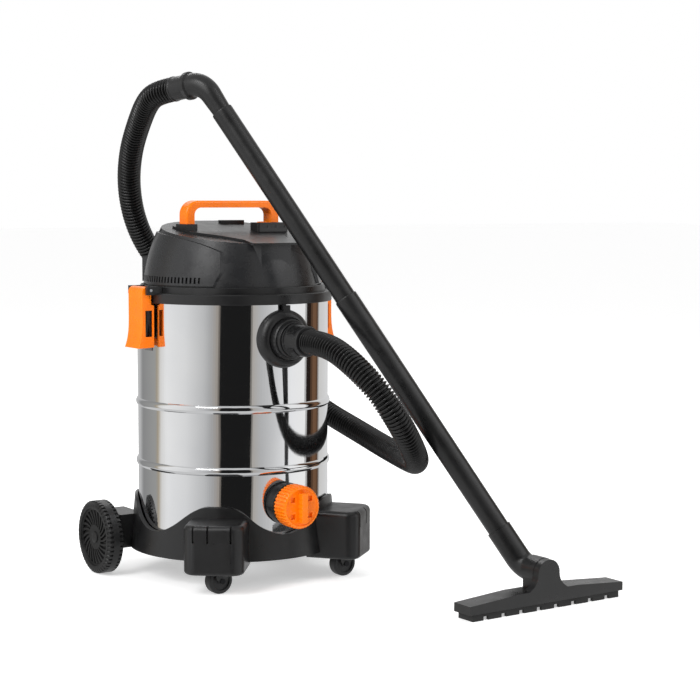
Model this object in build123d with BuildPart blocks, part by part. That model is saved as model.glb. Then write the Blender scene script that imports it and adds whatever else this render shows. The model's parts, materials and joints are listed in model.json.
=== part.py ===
"""Wet and dry shop vacuum: stainless drum on a wheeled dolly, clip-on motor head, corrugated hose, wand and floor nozzle.

Millimetres, +Z up. The origin lies on the floor under the drum's axis, and the hose inlet and drain face -Y.
"""
from build123d import *
import os
from math import cos, degrees, radians, sin, tan

os.makedirs("parts", exist_ok=True)

# ---------------------------------------------------------------- driving dimensions
DRUM_R = 165.0
SHEET = 1.2
DRUM_FLOOR = 60.0
DRUM_TOP = 477.5
BEAD_HEIGHTS = (195.0, 298.5)
BEAD_HALF = 7.0
BEAD_PROUD = 3.5

RING_R = 171.5
RING_LOW = 472.0
RING_TOP = 489.0
SKIRT_R = 160.0
HEAD_LOW = 500.0
TOP_Z = 590.0
TOP_SLOPE = 0.14
HEAD_WALL = 3.0
PORT_BOX_TOP = 544.0
PORT_Z = 522.0
PORT_BORE = 17.0

INLET_Z = 415.0
INLET_BORE = 21.0
DRAIN_Z = 139.0
HOSE_R = 20.5
HOSE_BORE = 17.0

WHEEL_R = 63.0
WHEEL_Y = 94.0
WHEEL_IN = 196.0
WHEEL_OUT = 226.0
STUB_R = 4.95
CASTER_R = 22.0
CASTER_X = 128.0
CASTER_Y = -158.0
CASTER_TRAIL = 5.0
POD_AZIMUTH = 39.0
POD_R = 240.0
POD_LOW = 36.0
POD_TOP = 118.0
BASE_LOW = 47.0
LOBE_TOP = 136.0
VALLEY = 88.0

HANDLE_Y = 10.0
HANDLE_HALF = 85.0
HANDLE_GRIP_Z = 637.0

LATCH_PIVOT_X = 178.5
LATCH_PIVOT_Z = 494.0
LATCH_HALF = 25.0

MOTOR_SHAFT_R = 4.0

# The wand is one straight line from the handle's bend to the joint above the nozzle's neck.
HOSE_END = Vector(-130.24, -31.04, 827.32)
GRIP_TOP = Vector(-120, -59, 831)
WAND_BEND = Vector(-108.4, -90.7, 835.2)
ELBOW = Vector(253, -486, 58)
GRIP_R = 20.5
GRIP_END_R = 15.4
TUBE_R = 18.0
LOWER_TUBE_R = 19.4
NECK_R = 20.4
SPIGOT_R = 17.0
JOIN_GRIP = 55.0
JOIN_TUBES = 423.0
JOIN_NECK = 871.0
ENGAGE = 25.0
NOZZLE_HALF = 159.0
NOZZLE_FRONT = -548.0
NOZZLE_REAR = -508.0
BARREL_R = 23.0

HOSE_ROUTE = [
    (0, -240, INLET_Z),
    (0, -292, INLET_Z),
    (5, -350, 393),
    (26, -396, 351),
    (59, -410, 298),
    (105, -386, 247),
    (160, -324, 213),
    (206, -237, 203),
    (229, -137, 211),
    (233, -47, 230),
    (220, 36, 256),
    (189, 113, 302),
    (139, 172, 361),
    (78, 208, 427),
    (14, 222, 494),
    (-42, 220, 545),
    (-82, 205, 603),
    (-109, 178, 667),
    (-126, 136, 727),
    (-135, 85, 777),
    (-143, 37, 811),
    (-141.85, 0.64, 823.15),
    (-130.24, -31.04, 827.32),
]


def save(piece, name):
    """Label a finished piece and write it as its own STEP."""
    piece.part.label = name
    export_step(piece.part, "parts/" + name + ".step")


def turned_z(outline, centre=(0, 0)):
    """Solid of revolution about a vertical axis from (radius, height) pairs."""
    with BuildPart() as piece:
        with BuildSketch(Plane(origin=(centre[0], centre[1], 0), x_dir=(1, 0, 0), z_dir=(0, -1, 0))):
            with BuildLine():
                Polyline(*outline, close=True)
            make_face()
        revolve(axis=Axis((centre[0], centre[1], 0), (0, 0, 1)))
    return piece


def turned_y(outline, height):
    """Solid of revolution about the front-to-back axis at a height, from (distance forward, radius) pairs."""
    with BuildPart() as piece:
        with BuildSketch(Plane(origin=(0, 0, height), x_dir=(0, -1, 0), z_dir=(1, 0, 0))):
            with BuildLine():
                Polyline(*outline, close=True)
            make_face()
        revolve(axis=Axis((0, 0, height), (0, 1, 0)))
    return piece


def turned_x(outline, y, z):
    """Solid of revolution about a sideways axis, from (x, radius) pairs."""
    with BuildPart() as piece:
        with BuildSketch(Plane(origin=(0, y, z), x_dir=(1, 0, 0), z_dir=(0, -1, 0))):
            with BuildLine():
                Polyline(*outline, close=True)
            make_face()
        revolve(axis=Axis((0, y, z), (1, 0, 0)))
    return piece


def mirrored(piece):
    """The same piece on the other side of the drum."""
    with BuildPart() as other:
        add(mirror(piece.part, about=Plane.YZ))
    return other


def save_pair(right, name):
    """Write the right-hand piece and its mirror image."""
    save(right, name + "_right")
    save(mirrored(right), name + "_left")


def radial_plane(azimuth, distance):
    """Upright plane facing outward at an azimuth from the front, towards +X."""
    a = radians(azimuth)
    outward = Vector(sin(a), -cos(a), 0)
    return Plane(origin=outward * distance, x_dir=(cos(a), sin(a), 0), z_dir=outward)


# ---------------------------------------------------------------- drum
def drum_solid(inset):
    """Drum body with its two rolled beads, shrunk by an inset."""
    r = DRUM_R - inset
    low = DRUM_FLOOR + inset
    with BuildPart() as piece:
        with BuildSketch(Plane.XZ):
            with BuildLine():
                Line((0, low), (r - 8, low))
                RadiusArc((r - 8, low), (r, low + 8), -8)
                start = low + 8
                for bead in BEAD_HEIGHTS:
                    Line((r, start), (r, bead - BEAD_HALF))
                    ThreePointArc((r, bead - BEAD_HALF), (r + BEAD_PROUD, bead), (r, bead + BEAD_HALF))
                    start = bead + BEAD_HALF
                Line((r, start), (r, DRUM_TOP))
                Line((r, DRUM_TOP), (0, DRUM_TOP))
                Line((0, DRUM_TOP), (0, low))
            make_face()
        revolve(axis=Axis.Z)
    return piece


with BuildPart() as drum:
    add(drum_solid(0).part)
    add(drum_solid(SHEET).part, mode=Mode.SUBTRACT)
    with BuildSketch(Plane.XZ):
        with Locations((DRUM_R + 0.8, DRUM_TOP)):
            Circle(2.4)
    revolve(axis=Axis.Z)
    with Locations(Plane(origin=(0, -DRUM_R, INLET_Z), z_dir=(0, -1, 0))):
        Cylinder(24, 30, mode=Mode.SUBTRACT)
    with Locations(Plane(origin=(0, -DRUM_R, DRAIN_Z), z_dir=(0, -1, 0))):
        Cylinder(23, 30, mode=Mode.SUBTRACT)
save(drum, "drum")

# ---------------------------------------------------------------- dolly base
SLOT_OFFSETS = (-30, 8, 32)
with BuildPart() as pod:
    with BuildSketch(Plane.XY.offset(POD_LOW)):
        with BuildLine():
            Polyline((-50, -150), (-50, -POD_R), (50, -POD_R), (50, -150), close=True)
        make_face()
    extrude(amount=POD_TOP - POD_LOW)
    upright = pod.edges().filter_by(Axis.Z).group_by(Axis.Y)[0]
    fillet(upright, 22)
    fillet(pod.faces().sort_by(Axis.Z)[-1].edges().sort_by(Axis.Y)[:-1], 9)
    fillet(pod.faces().sort_by(Axis.Z)[0].edges().sort_by(Axis.Y)[:-1], 6)
    for offset_x in SLOT_OFFSETS:
        with Locations((offset_x, -POD_R, POD_TOP - 14)):
            Box(3.2, 11, 28, mode=Mode.SUBTRACT)


with BuildPart() as dolly_base:
    with BuildSketch(Plane.XZ):
        with BuildLine():
            Polyline(
                (167, LOBE_TOP),
                (171.5, LOBE_TOP),
                (176, 88),
                (182, BASE_LOW),
                (176, BASE_LOW),
                (168, 53.8),
                (60, 53.8),
                (60, 59.8),
                (167, 59.8),
                close=True,
            )
        make_face()
    revolve(axis=Axis.Z)
    for azimuth, half_width in ((0, 106), (81, 106), (-81, 106), (180, 143)):
        with BuildSketch(radial_plane(azimuth, 90)):
            with BuildLine():
                edge = Spline(
                    (-half_width, LOBE_TOP + 1),
                    (-half_width * 0.5, 108),
                    (0, VALLEY),
                    (half_width * 0.5, 108),
                    (half_width, LOBE_TOP + 1),
                    tangents=[(1, 0), (1, 0)],
                )
                Polyline(edge @ 1, (half_width, 150), (-half_width, 150), edge @ 0)
            make_face()
        extrude(amount=110, mode=Mode.SUBTRACT)
    add(pod.part.rotate(Axis.Z, POD_AZIMUTH))
    add(mirror(pod.part.rotate(Axis.Z, POD_AZIMUTH), about=Plane.YZ))
    for side in (-1, 1):
        with Locations((side * 170, WHEEL_Y, 75)):
            Box(44, 74, 58)
    with Locations((0, 0, 59.8 + 60)):
        Cylinder(167, 120, mode=Mode.SUBTRACT)
    for x, y in ((90, 90), (-90, 90), (90, -90), (-90, -90)):
        with Locations((x, y, 56.8)):
            Cylinder(2, 8, mode=Mode.SUBTRACT)
    for side in (-1, 1):
        with Locations((side * CASTER_X, CASTER_Y, 50)):
            Cylinder(31, 29, mode=Mode.SUBTRACT)
        with Locations((side * CASTER_X, CASTER_Y, 74)):
            Cylinder(5.0, 24, mode=Mode.SUBTRACT)
        with Locations(Location((side * 170, WHEEL_Y, WHEEL_R), (0, 90, 0))):
            Cylinder(STUB_R, 46, mode=Mode.SUBTRACT)
save(dolly_base, "dolly_base")

with BuildPart() as base_screws:
    for x, y in ((90, 90), (-90, 90), (90, -90), (-90, -90)):
        with Locations((x, y, 51.6)):
            Cylinder(5, 4)
        with Locations((x, y, 56.6)):
            Cylinder(2, 6)
        with Locations((x, y, 50.3)):
            Box(6, 1.2, 1.6, mode=Mode.SUBTRACT)
            Box(1.2, 6, 1.6, mode=Mode.SUBTRACT)
save(base_screws, "base_screws")

# ---------------------------------------------------------------- rear wheels on stub axles
with BuildPart() as stub_axles:
    for side in (-1, 1):
        with Locations(Location((side * 186, WHEEL_Y, WHEEL_R), (0, 90, 0))):
            Cylinder(STUB_R, 66)
save(stub_axles, "stub_axles")

TREAD_BLOCKS = 40
SWIRL_SLOTS = 24
with BuildPart() as rear_wheel:
    add(
        turned_x(
            [
                (WHEEL_IN, 0),
                (WHEEL_IN, 20),
                (WHEEL_IN + 9, 22),
                (WHEEL_IN + 9, 50),
                (WHEEL_IN, 52),
                (WHEEL_IN, 60),
                (WHEEL_IN + 3, WHEEL_R),
                (WHEEL_OUT - 6, WHEEL_R),
                (WHEEL_OUT - 1.5, 60.5),
                (WHEEL_OUT, 57),
                (WHEEL_OUT, 53),
                (WHEEL_OUT - 2, 52.2),
                (WHEEL_OUT - 2, 50.4),
                (WHEEL_OUT - 0.6, 49.4),
                (WHEEL_OUT - 1.6, 45),
                (WHEEL_OUT - 1.6, 19),
                (WHEEL_OUT + 0.4, 14),
                (WHEEL_OUT + 0.8, 0),
            ],
            WHEEL_Y,
            WHEEL_R,
        ).part
    )
    with BuildSketch(Plane(origin=(WHEEL_OUT - 1.6, WHEEL_Y, WHEEL_R), x_dir=(0, 1, 0), z_dir=(1, 0, 0))):
        with PolarLocations(0, SWIRL_SLOTS):
            SlotArc(ThreePointArc((22, 0), (32, 4.2), (42.5, 3)), 3.2)
    extrude(amount=-7, mode=Mode.SUBTRACT)
    with BuildSketch(Plane(origin=(WHEEL_IN + 6, WHEEL_Y, WHEEL_R), x_dir=(0, 1, 0), z_dir=(1, 0, 0))):
        with PolarLocations(WHEEL_R, TREAD_BLOCKS):
            Rectangle(4.4, 2.6)
    extrude(amount=13, mode=Mode.SUBTRACT)
    with BuildSketch(Plane(origin=(WHEEL_OUT - 5, WHEEL_Y, WHEEL_R), x_dir=(0, 1, 0), z_dir=(1, 0, 0))):
        with PolarLocations(WHEEL_R, TREAD_BLOCKS):
            Rectangle(4.4, 4.2)
    extrude(amount=7, mode=Mode.SUBTRACT)
    with Locations(Location((WHEEL_IN + 12.5, WHEEL_Y, WHEEL_R), (0, 90, 0))):
        Cylinder(STUB_R + 0.06, 25.2, mode=Mode.SUBTRACT)
save(rear_wheel, "rear_wheel_right")
with BuildPart() as rear_wheel_left:
    add(rear_wheel.part.rotate(Axis((0, WHEEL_Y, 0), (0, 0, 1)), 180))
save(rear_wheel_left, "rear_wheel_left")

# ---------------------------------------------------------------- casters, mirrored about the drum's middle plane
AXLE_X = CASTER_X - CASTER_TRAIL
with BuildPart() as caster_yoke:
    with Locations((CASTER_X, CASTER_Y, 66)):
        Cylinder(STUB_R, 38)
    with Locations((CASTER_X, CASTER_Y, 50)):
        Cylinder(17, 4)
    with Locations((AXLE_X, CASTER_Y, 36)):
        Box(24, 27, 28)
    fillet(caster_yoke.edges().filter_by(Axis.Y).group_by(Axis.Z)[0], 8)
    with Locations((AXLE_X, CASTER_Y, 32)):
        Box(50, 20, 32, mode=Mode.SUBTRACT)
    with Locations(Location((AXLE_X, CASTER_Y, CASTER_R), (90, 0, 0))):
        Cylinder(3.0, 40, mode=Mode.SUBTRACT)
save_pair(caster_yoke, "caster_yoke")

with BuildPart() as caster_axle:
    with Locations(Location((AXLE_X, CASTER_Y, CASTER_R), (90, 0, 0))):
        Cylinder(3.0, 27)
        Cylinder(3.0, 27)
    with Locations((AXLE_X, CASTER_Y - 14.3, CASTER_R)):
        Box(3, 1, 3)
    with Locations(Location((AXLE_X, CASTER_Y - 14.2, CASTER_R), (90, 0, 0))):
        Cylinder(4.6, 1.4)
save_pair(caster_axle, "caster_axle")

with BuildPart() as caster_wheel:
    with Locations(Location((AXLE_X, CASTER_Y, CASTER_R), (90, 0, 0))):
        Cylinder(CASTER_R, 18)
    fillet(caster_wheel.edges().filter_by(GeomType.CIRCLE), 3)
    with BuildSketch(Plane(origin=(AXLE_X, CASTER_Y - 9, CASTER_R), z_dir=(0, -1, 0))):
        Circle(16)
        Circle(6, mode=Mode.SUBTRACT)
    extrude(amount=-3, mode=Mode.SUBTRACT)
    with BuildSketch(Plane(origin=(AXLE_X, CASTER_Y + 9, CASTER_R), z_dir=(0, 1, 0))):
        Circle(16)
        Circle(6, mode=Mode.SUBTRACT)
    extrude(amount=-3, mode=Mode.SUBTRACT)
    with Locations(Location((AXLE_X, CASTER_Y, CASTER_R), (90, 0, 0))):
        Cylinder(3.06, 30, mode=Mode.SUBTRACT)
save_pair(caster_wheel, "caster_wheel")

# ---------------------------------------------------------------- hose inlet on the drum's front
with BuildPart() as inlet_flange:
    add(
        turned_y(
            [
                (154, INLET_BORE),
                (154, 49),
                (166, 49),
                (171, 47.8),
                (175, 45),
                (178, 41),
                (179, 37),
                (176.5, 36.5),
                (176.5, 34.5),
                (189, 33.5),
                (191, 32),
                (191, 30.2),
                (198, 29.6),
                (199, 28.6),
                (199, 26.9),
                (180, 26.9),
                (180, INLET_BORE),
            ],
            INLET_Z,
        ).part
    )
    Cylinder(DRUM_R + 0.1, 1200, mode=Mode.SUBTRACT)
    with Locations((0, -173, INLET_Z + 50)):
        Box(12, 6, 12)
    add(turned_y([(150, INLET_BORE), (150, 23.9), (168, 23.9), (168, INLET_BORE)], INLET_Z).part)
save(inlet_flange, "inlet_flange")


def drum_gasket(inner, outer, height):
    """Thin washer curved to the drum's inner face around a port."""
    with BuildPart() as piece:
        add(turned_y([(150, inner), (150, outer), (170, outer), (170, inner)], height).part)
        Cylinder(DRUM_R - SHEET - 0.1, 1200, mode=Mode.INTERSECT)
        Cylinder(162.4, 1200, mode=Mode.SUBTRACT)
    return piece


save(drum_gasket(24.5, 40, INLET_Z), "inlet_gasket")
with BuildPart() as inlet_nut:
    add(turned_y([(150, 23.95), (150, 34), (156.5, 34), (156.5, 27), (159.9, 27), (159.9, 23.95)], INLET_Z).part)
    with Locations(Plane(origin=(0, -153, INLET_Z), z_dir=(0, -1, 0))):
        with PolarLocations(34, 8):
            Box(4, 8, 8, mode=Mode.SUBTRACT)
save(inlet_nut, "inlet_nut")

with BuildPart() as inlet_deflector:
    with BuildSketch(Plane(origin=(0, -149.8, INLET_Z), z_dir=(0, 1, 0))):
        Circle(30)
        Circle(INLET_BORE + 0.2, mode=Mode.SUBTRACT)
    extrude(amount=3)
    with Locations((0, -127, INLET_Z + 28)):
        Box(56, 44, 3)
    with Locations((0, -105, INLET_Z + 4)):
        Box(56, 3, 51)
save(inlet_deflector, "inlet_deflector")

RIB_ANGLES = (-18, -12, -6, 0, 6, 12, 18)
with BuildPart() as hose_inlet_cuff:
    add(
        turned_y(
            [
                (181, HOSE_BORE),
                (181, 26.6),
                (201, 26.6),
                (202, 27.8),
                (205, 27.8),
                (206, 26.2),
                (236, 25.2),
                (240, 24),
                (240, HOSE_BORE),
            ],
            INLET_Z,
        ).part
    )
    with Locations(Plane(origin=(0, -220, INLET_Z), z_dir=(0, -1, 0))):
        for quarter in (45, 135, 225, 315):
            for angle in RIB_ANGLES:
                with PolarLocations(26, 1, start_angle=quarter + angle):
                    Box(2.4, 1.3, 22)
save(hose_inlet_cuff, "hose_inlet_cuff")

# ---------------------------------------------------------------- drain
with BuildPart() as drain_spout:
    add(
        turned_y(
            [
                (154, 17),
                (154, 33),
                (170, 33),
                (171, 35.6),
                (186, 35.6),
                (187, 34.6),
                (187, 31.5),
                (205, 31.5),
                (205, 17),
            ],
            DRAIN_Z,
        ).part
    )
    Cylinder(DRUM_R + 0.1, 600, mode=Mode.SUBTRACT)
    add(turned_y([(148, 17), (148, 22.9), (168, 22.9), (168, 17)], DRAIN_Z).part)
save(drain_spout, "drain_spout")

drain_nut = turned_y([(148, 22.95), (148, 34), (156, 34), (156, 26), (159.5, 26), (159.5, 22.95)], DRAIN_Z)
save(drain_nut, "drain_nut")
save(drum_gasket(23.4, 32, DRAIN_Z), "drain_gasket")

drain_seal = turned_y([(205.4, 18), (205.4, 31), (207.6, 31), (207.6, 18)], DRAIN_Z)
save(drain_seal, "drain_seal")

CAP_TEETH = 36
with BuildPart() as drain_cap:
    add(
        turned_y(
            [
                (190, 32.0),
                (190, 35.2),
                (191, 36),
                (216, 36),
                (220, 34),
                (222, 30),
                (222.6, 0),
                (208, 0),
                (208, 32.0),
            ],
            DRAIN_Z,
        ).part
    )
    with BuildSketch(Plane(origin=(0, -189, DRAIN_Z), z_dir=(0, -1, 0))):
        with PolarLocations(36.7, CAP_TEETH):
            Rectangle(2.6, 2.2)
    extrude(amount=29, mode=Mode.SUBTRACT)
    with Locations((0, -226, DRAIN_Z)):
        Box(11, 10, 50)
    for side in (-1, 1):
        for up in (-15, 15):
            with Locations((side * 19, -222, DRAIN_Z + up)):
                Box(6, 5, 6, mode=Mode.SUBTRACT)
save(drain_cap, "drain_cap")

# ---------------------------------------------------------------- lid ring, gasket and latches
LUG_Y = 31.0
with BuildPart() as lid_ring:
    add(
        turned_z(
            [
                (169.2, RING_LOW),
                (RING_R - 0.6, RING_LOW),
                (RING_R, RING_LOW + 1),
                (RING_R, RING_TOP - 1.5),
                (RING_R - 1.5, RING_TOP),
                (SKIRT_R, RING_TOP),
                (SKIRT_R - 0.5, HEAD_LOW - 1),
                (SKIRT_R - 1.5, HEAD_LOW - 0.1),
                (142, HEAD_LOW - 0.1),
                (142, HEAD_LOW - 3),
                (156.5, HEAD_LOW - 3),
                (156.5, 491),
                (52, 491),
                (52, 486),
                (169.2, 486),
            ]
        ).part
    )
    for side in (-1, 1):
        for end in (-1, 1):
            with Locations((side * 171, end * LUG_Y, 493.2)):
                Box(28, 7, 14)
    for side in (-1, 1):
        with Locations(Location((side * LATCH_PIVOT_X, 0, LATCH_PIVOT_Z), (90, 0, 0))):
            Cylinder(2.5, 90, mode=Mode.SUBTRACT)
save(lid_ring, "lid_ring")

lid_gasket = turned_z([(161, 480.6), (161, 485.9), (168.8, 485.9), (168.8, 480.6)])
save(lid_gasket, "lid_gasket")

with BuildPart() as latch_pins:
    for side in (-1, 1):
        with Locations(Location((side * LATCH_PIVOT_X, 0, LATCH_PIVOT_Z), (90, 0, 0))):
            Cylinder(2.5, 72)
            Cylinder(2.5, 72)
save(latch_pins, "latch_pins")

with BuildPart() as latch:
    with BuildSketch(Plane.XZ.offset(-LATCH_HALF)):
        with BuildLine():
            Polyline((173.0, 493), (173.0, 470), (167.5, 468), (167.5, 398), (197, 397))
            Spline((197, 397), (191, 420), (189.5, 460), (189.5, 490), tangents=[(-0.4, 1), (0, 1)])
            ThreePointArc((189.5, 490), (186.5, 497.5), (180, 500))
            ThreePointArc((180, 500), (175, 498.4), (173.0, 493))
        make_face()
    extrude(amount=2 * LATCH_HALF)
    with BuildSketch(Plane.XZ.offset(-22)):
        with BuildLine():
            Polyline((160, 484), (185.5, 484), (186, 460), (187.5, 420), (192.5, 390), (160, 390), close=True)
        make_face()
    extrude(amount=44, mode=Mode.SUBTRACT)
    with Locations((177, 0, 438)):
        Box(13, 60, 44, mode=Mode.SUBTRACT)
    with Locations(Location((LATCH_PIVOT_X, 0, LATCH_PIVOT_Z), (90, 0, 0))):
        Cylinder(2.56, 70, mode=Mode.SUBTRACT)
save_pair(latch, "latch")

with BuildPart() as latch_link:
    with BuildSketch(Plane.XZ.offset(-19)):
        with BuildLine():
            Polyline(
                (172, 462),
                (178, 462),
                (179, 440),
                (184, 412),
                (179, 411),
                (174.5, 438),
                (171, 413),
                (167.6, 414),
                (172, 442),
                close=True,
            )
        make_face()
    extrude(amount=38)
    with Locations(Location((177, 0, 466), (90, 0, 0))):
        Cylinder(3, 43.8)
save_pair(latch_link, "latch_link")

with BuildPart() as latch_catches:
    for side in (-1, 1):
        with Locations((side * 165.6, 0, 402)):
            Box(2, 24, 22)
    Cylinder(DRUM_R + 0.1, 1200, mode=Mode.SUBTRACT)
save(latch_catches, "latch_catches")


# ---------------------------------------------------------------- motor head cover
def head_volume(grow):
    """Tapered head with its front boss and rear port housing, grown outward by a distance."""
    with BuildPart() as piece:
        with BuildSketch(Plane.XZ):
            with BuildLine():
                Line((0, HEAD_LOW), (150 + grow, HEAD_LOW))
                ThreePointArc((150 + grow, HEAD_LOW), (140.5 + grow, 552), (119 + grow, 606))
                Line((119 + grow, 606), (0, 606))
                Line((0, 606), (0, HEAD_LOW))
            make_face()
        revolve(axis=Axis.Z)
        with BuildSketch(Plane.XY.offset(HEAD_LOW)):
            with BuildLine():
                Polyline(
                    (-47 - grow, -90),
                    (-47 - grow, -118),
                    (-29 - grow * 0.6, -142 - grow),
                    (29 + grow * 0.6, -142 - grow),
                    (47 + grow, -118),
                    (47 + grow, -90),
                    close=True,
                )
            make_face()
        extrude(amount=106)
        low = HEAD_LOW - min(grow, 0)
        with Locations((0, 130 + grow / 2, (low + PORT_BOX_TOP + grow) / 2)):
            Box(184 + 2 * grow, 60 + grow, PORT_BOX_TOP + grow - low)
        with BuildSketch(Plane(origin=(0, 0, TOP_Z + grow), x_dir=(1, 0, 0), z_dir=(0, -TOP_SLOPE, 1))):
            Rectangle(500, 500)
        extrude(amount=80, mode=Mode.SUBTRACT)
    return piece


outer_head = head_volume(0)
with BuildPart() as head_cover:
    add(outer_head.part)
    rim = head_cover.faces().sort_by(Axis.Z)[-1].edges()
    fillet(rim, 5)
    add(head_volume(-HEAD_WALL).part, mode=Mode.SUBTRACT)
    with Locations(Plane(origin=(0, 155, PORT_Z), z_dir=(0, 1, 0))):
        Cylinder(20.1, 30, mode=Mode.SUBTRACT)
    with Locations(Plane(origin=(60, 155, 516), z_dir=(0, 1, 0))):
        Cylinder(6, 30, mode=Mode.SUBTRACT)
save(head_cover, "head_cover")

VENT_SLOTS = 25
with BuildPart() as side_cover:
    add(head_volume(4).part)
    add(head_volume(0.1).part, mode=Mode.SUBTRACT)
    with BuildSketch(Plane.YZ.offset(56)):
        with BuildLine():
            Polyline((98, 590), (98, 502), (-112, 502), (-118, 526), (-111, 558))
            Spline((-111, 558), (-72, 574), (-36, 581), (30, 588), (98, 590))
        make_face()
    extrude(amount=150, mode=Mode.INTERSECT)
    with Locations((0, 0, 511)):
        with PolarLocations(150, VENT_SLOTS, start_angle=-38, angular_range=70, endpoint=True):
            Box(40, 3.8, 10, mode=Mode.SUBTRACT)
save_pair(side_cover, "side_cover")


# ---------------------------------------------------------------- top cap, carrying handle and switch
TOP_TILT = Plane(origin=(0, 0, TOP_Z + 0.1), x_dir=(1, 0, 0), z_dir=(0, -TOP_SLOPE, 1))
with BuildPart() as top_cap:
    with BuildSketch(TOP_TILT) as cap_outline:
        with BuildLine():
            Polyline(
                (-50, -149),
                (50, -149),
                (44, -112),
                (62, -70),
                (97, -24),
                (97, 40),
                (48, 96),
                (-48, 96),
                (-97, 40),
                (-97, -24),
                (-62, -70),
                (-44, -112),
                close=True,
            )
        make_face()
        fillet(cap_outline.vertices(), 7)
    extrude(amount=4)
    for side in (-1, 1):
        with Locations((side * HANDLE_HALF, HANDLE_Y, 595)):
            Box(23, 34, 16)
    with Locations((34, 62, 602)):
        Box(46, 12, 13)
    with BuildSketch(TOP_TILT):
        Rectangle(500, 500)
    extrude(amount=-30, mode=Mode.SUBTRACT)
    for side in (-1, 1):
        with Locations((side * HANDLE_HALF, HANDLE_Y, 602)):
            Box(16.2, 27.2, 9.8, mode=Mode.SUBTRACT)
save(top_cap, "top_cap")

with BuildPart() as handle:
    with BuildSketch(Plane.XZ.offset(-HANDLE_Y - 13.5)):
        with BuildLine():
            FilletPolyline((-93, 597.2), (-93, 643), (93, 643), (93, 597.2), radius=24)
            Line((93, 597.2), (77, 597.2))
            FilletPolyline((77, 597.2), (77, 631), (-77, 631), (-77, 597.2), radius=13)
            Line((-77, 597.2), (-93, 597.2))
        make_face()
    extrude(amount=27)
    fillet(handle.faces().filter_by(GeomType.PLANE).sort_by(Axis.Z)[-1].edges().filter_by(Axis.X), 4)
save(handle, "handle")

SWITCH = (52.0, -26.0)
with BuildPart() as switch_housing:
    with Locations((SWITCH[0] + 6, SWITCH[1], 597.5)):
        Box(62, 28, 16)
    fillet(switch_housing.edges().filter_by(Axis.Z), 4)
    with BuildSketch(TOP_TILT.offset(4)):
        Rectangle(500, 500)
    extrude(amount=-60, mode=Mode.SUBTRACT)
    with Locations((SWITCH[0], SWITCH[1], 605)):
        Box(34, 18, 18, mode=Mode.SUBTRACT)
    for step in (-1, 0, 1):
        with Locations((SWITCH[0] + 6 + 17 * step, SWITCH[1] - 14, 599)):
            Box(12, 1.6, 5, mode=Mode.SUBTRACT)
save(switch_housing, "switch_housing")

ROCKER_TILT = 7.0
with BuildPart() as switch_rocker:
    with BuildSketch(Plane.XZ.offset(8)):
        with BuildLine():
            Polyline((-13, 599.6), (13, 599.6), (14, 605), (7, 606.4), (0, 605.4), (-7, 606.4), (-14, 605), close=True)
        make_face()
    extrude(amount=-16)
    with Locations(Location((0, 0, 602), (90, 0, 0))):
        Cylinder(1.5, 17.4)
rocker_tilted = switch_rocker.part.rotate(Axis((0, 0, 602), (0, 1, 0)), ROCKER_TILT).translate((SWITCH[0], SWITCH[1], 0))
with BuildPart() as switch_rocker:
    add(rocker_tilted)
save(switch_rocker, "switch_rocker")

# ---------------------------------------------------------------- rear outlet, cord gland and screws
with BuildPart() as blower_port:
    with BuildSketch(Plane(origin=(0, 160.1, PORT_Z), x_dir=(-1, 0, 0), z_dir=(0, 1, 0))):
        RectangleRounded(66, 38, 8)
    extrude(amount=3)
    with Locations(Plane(origin=(0, 165, PORT_Z), z_dir=(0, 1, 0))):
        Cylinder(20, 34)
        Cylinder(PORT_BORE, 60, mode=Mode.SUBTRACT)
save(blower_port, "blower_port")

with BuildPart() as port_screws:
    for side in (-1, 1):
        with Locations(Plane(origin=(side * 27, 164.6, PORT_Z), z_dir=(0, 1, 0))):
            Cylinder(4, 2.8)
            Box(5, 1, 3.4, mode=Mode.SUBTRACT)
            Box(1, 5, 3.4, mode=Mode.SUBTRACT)
save(port_screws, "port_screws")

with BuildPart() as cord_gland:
    with Locations(Plane(origin=(60, 168, 516), z_dir=(0, 1, 0))):
        Cylinder(5.9, 34)
    with Locations(Plane(origin=(60, 162.2, 516), z_dir=(0, 1, 0))):
        Cylinder(9, 4)
    with Locations(Plane(origin=(60, 168, 516), z_dir=(0, 1, 0))):
        Cylinder(3.6, 60, mode=Mode.SUBTRACT)
save(cord_gland, "cord_gland")

# ---------------------------------------------------------------- motor and fan inside the head
fan_housing = turned_z([(25, 491.2), (78, 491.2), (80, 493.2), (80, 523), (46.2, 523), (46.2, 520.6), (77.6, 520.6), (77.6, 493.6), (25, 493.6)])
save(fan_housing, "fan_housing")

IMPELLER_BLADES = 9
with BuildPart() as impeller:
    add(turned_z([(MOTOR_SHAFT_R, 514), (70, 514), (70, 516), (12, 516), (12, 519), (MOTOR_SHAFT_R, 519)]).part)
    with BuildSketch(Plane.XY.offset(498)):
        with PolarLocations(0, IMPELLER_BLADES):
            SlotArc(ThreePointArc((18, 0), (42, 14), (66, 8)), 1.6)
    extrude(amount=16.2)
    add(turned_z([(24, 496), (70, 496), (70, 498.2), (24, 498.2)]).part)
save(impeller, "impeller")

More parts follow.
